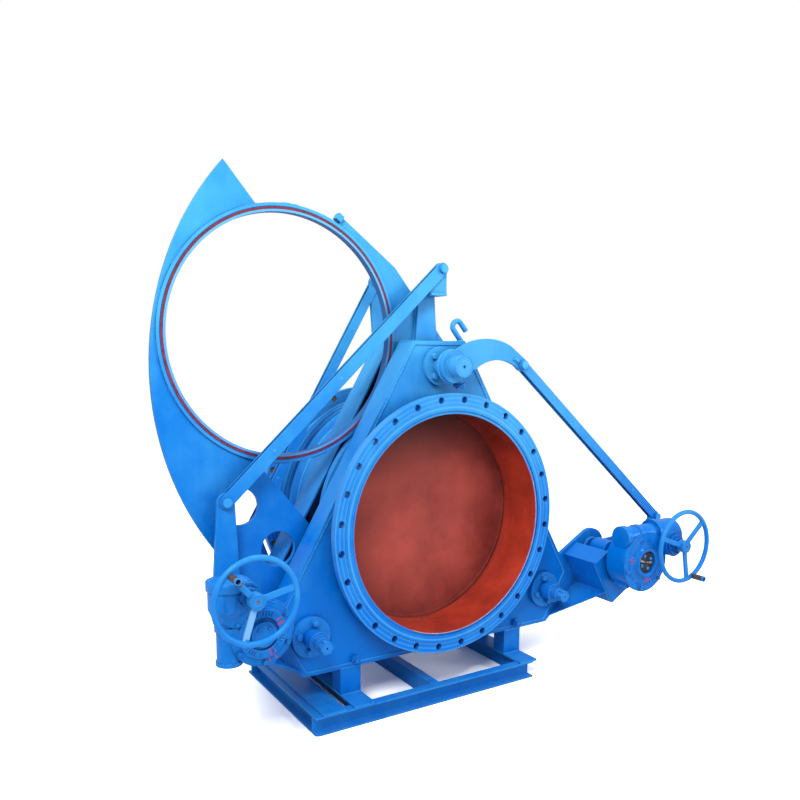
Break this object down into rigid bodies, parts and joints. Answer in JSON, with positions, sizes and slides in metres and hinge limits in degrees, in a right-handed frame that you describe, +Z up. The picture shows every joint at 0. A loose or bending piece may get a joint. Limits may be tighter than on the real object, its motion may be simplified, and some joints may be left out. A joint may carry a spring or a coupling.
{
  "type": "swing-plate blind valve",
  "caption": "Hand-operated swing-plate blind valve for a large gas main: fan-shaped sector with blind disc and open port ring between two plate-built body halves on a channel base.",
  "frame": {"origin": "on the floor under the centre of the front flange's face", "axes": "+X to the right seen from the front flange, +Y along the bore from the front flange to the rear one, +Z up"},
  "size_m": [2.6451, 1.238, 2.3236],
  "materials": {
    "blue_enamel": "gloss brush-applied enamel",
    "red_oxide_primer": "matt red-oxide primer",
    "seal_rubber": "dull moulded seal rubber"
  },
  "bodies": {
    "valve_frame": {"base_front_rail": "blue_enamel", "base_rear_rail": "blue_enamel", "base_left_rail": "blue_enamel", "base_right_rail": "blue_enamel", "base_cross_rails": "blue_enamel", "base_pads": "blue_enamel", "support_posts": "blue_enamel", "front_flange": "blue_enamel", "front_pipe": "blue_enamel", "front_plate": "blue_enamel", "front_walls": "blue_enamel", "rear_walls": "blue_enamel", "rear_plate": "blue_enamel", "rear_pipe": "blue_enamel", "bellows": "blue_enamel", "rear_flange": "blue_enamel", "front_bushes": "blue_enamel", "rear_bushes": "blue_enamel", "guide_rods": "blue_enamel", "lifting_hooks": "blue_enamel", "left_bracket": "blue_enamel", "left_gearbox": "blue_enamel", "left_gear_cover": "blue_enamel", "right_bracket": "blue_enamel", "right_gearbox": "blue_enamel", "right_gear_cover": "blue_enamel"},
    "sector": {"sector_web": "blue_enamel", "port_ring": "blue_enamel", "blind_disc": "red_oxide_primer", "sector_seals": "seal_rubber", "sector_crank": "blue_enamel"},
    "drive_lever": {"drive_lever": "blue_enamel"},
    "drive_rod": {"drive_rod": "blue_enamel"},
    "left_handwheel": {"left_handwheel": "blue_enamel"},
    "clamp_arm": {"clamp_arm": "blue_enamel", "top_screw": "blue_enamel", "rear_bell_crank": "blue_enamel"},
    "clamp_rod": {"clamp_rod": "blue_enamel"},
    "clamp_crank": {"clamp_crank": "blue_enamel"},
    "right_handwheel": {"right_handwheel": "blue_enamel"},
    "left_screw": {"left_screw": "blue_enamel"},
    "right_screw": {"right_screw": "blue_enamel"},
    "left_rear_rod": {"left_rear_rod": "blue_enamel"},
    "right_rear_rod": {"right_rear_rod": "blue_enamel"}
  },
  "joints": [
    {"name": "sector_swing", "type": "hinge", "parent": "valve_frame", "child": "sector", "pos_m": [0, 0.2625, 1.517], "axis": [0, -1, 0], "range_deg": [0, 100.7]},
    {"name": "lever_turn", "type": "hinge", "parent": "valve_frame", "child": "drive_lever", "pos_m": [-0.988, 0.187, 0.562], "axis": [0, -1, 0], "range_deg": [0, 108.59]},
    {"name": "rod_turn", "type": "hinge", "parent": "drive_lever", "child": "drive_rod", "pos_m": [-0.98287, 0.187, 0.98197], "axis": [0, -1, 0], "range_deg": [-103.47, 0]},
    {"name": "left_wheel_turn", "type": "hinge", "parent": "valve_frame", "child": "left_handwheel", "pos_m": [-1.045, -0.29, 0.718], "axis": [0, -1, 0], "range_deg": [0, 2417.8]},
    {"name": "clamp_swing", "type": "hinge", "parent": "valve_frame", "child": "clamp_arm", "pos_m": [0, 0.026, 1.517], "axis": [0, -1, 0], "range_deg": [0, 75]},
    {"name": "clamp_rod_turn", "type": "hinge", "parent": "clamp_arm", "child": "clamp_rod", "pos_m": [0.40498, 0.026, 1.52124], "axis": [0, -1, 0], "range_deg": [-82.8, 0]},
    {"name": "clamp_crank_turn", "type": "hinge", "parent": "valve_frame", "child": "clamp_crank", "pos_m": [0.988, 0.026, 0.562], "axis": [0, -1, 0], "range_deg": [0, 76.33]},
    {"name": "right_wheel_turn", "type": "hinge", "parent": "valve_frame", "child": "right_handwheel", "pos_m": [1.141, -0.35, 0.642], "axis": [0, -1, 0], "range_deg": [0, 2251]},
    {"name": "left_screw_turn", "type": "hinge", "parent": "valve_frame", "child": "left_screw", "pos_m": [-0.65298, 0.5175, 0.386], "axis": [0, -1, 0], "range_deg": [0, 75.05]},
    {"name": "right_screw_turn", "type": "hinge", "parent": "valve_frame", "child": "right_screw", "pos_m": [0.65298, 0.5175, 0.386], "axis": [0, -1, 0], "range_deg": [0, 75.05]},
    {"name": "left_rear_rod_turn", "type": "hinge", "parent": "clamp_arm", "child": "left_rear_rod", "pos_m": [-0.09798, 0.5175, 1.90997], "axis": [0, -1, 0], "range_deg": [-75.05, 0]},
    {"name": "right_rear_rod_turn", "type": "hinge", "parent": "clamp_arm", "child": "right_rear_rod", "pos_m": [0.38931, 0.5175, 1.40537], "axis": [0, -1, 0], "range_deg": [-75.05, 0]}
  ],
  "couplings": [
    {"joint": "lever_turn", "follows": "sector_swing", "ratio": 1.0779},
    {"joint": "rod_turn", "follows": "sector_swing", "ratio": -1.0271},
    {"joint": "left_wheel_turn", "follows": "sector_swing", "ratio": 24},
    {"joint": "clamp_rod_turn", "follows": "clamp_swing", "ratio": -1.1033},
    {"joint": "clamp_crank_turn", "follows": "clamp_swing", "ratio": 1.017},
    {"joint": "right_wheel_turn", "follows": "clamp_swing", "ratio": 30},
    {"joint": "left_screw_turn", "follows": "clamp_swing", "ratio": 1},
    {"joint": "right_screw_turn", "follows": "clamp_swing", "ratio": 1},
    {"joint": "left_rear_rod_turn", "follows": "clamp_swing", "ratio": -1},
    {"joint": "right_rear_rod_turn", "follows": "clamp_swing", "ratio": -1}
  ]
}
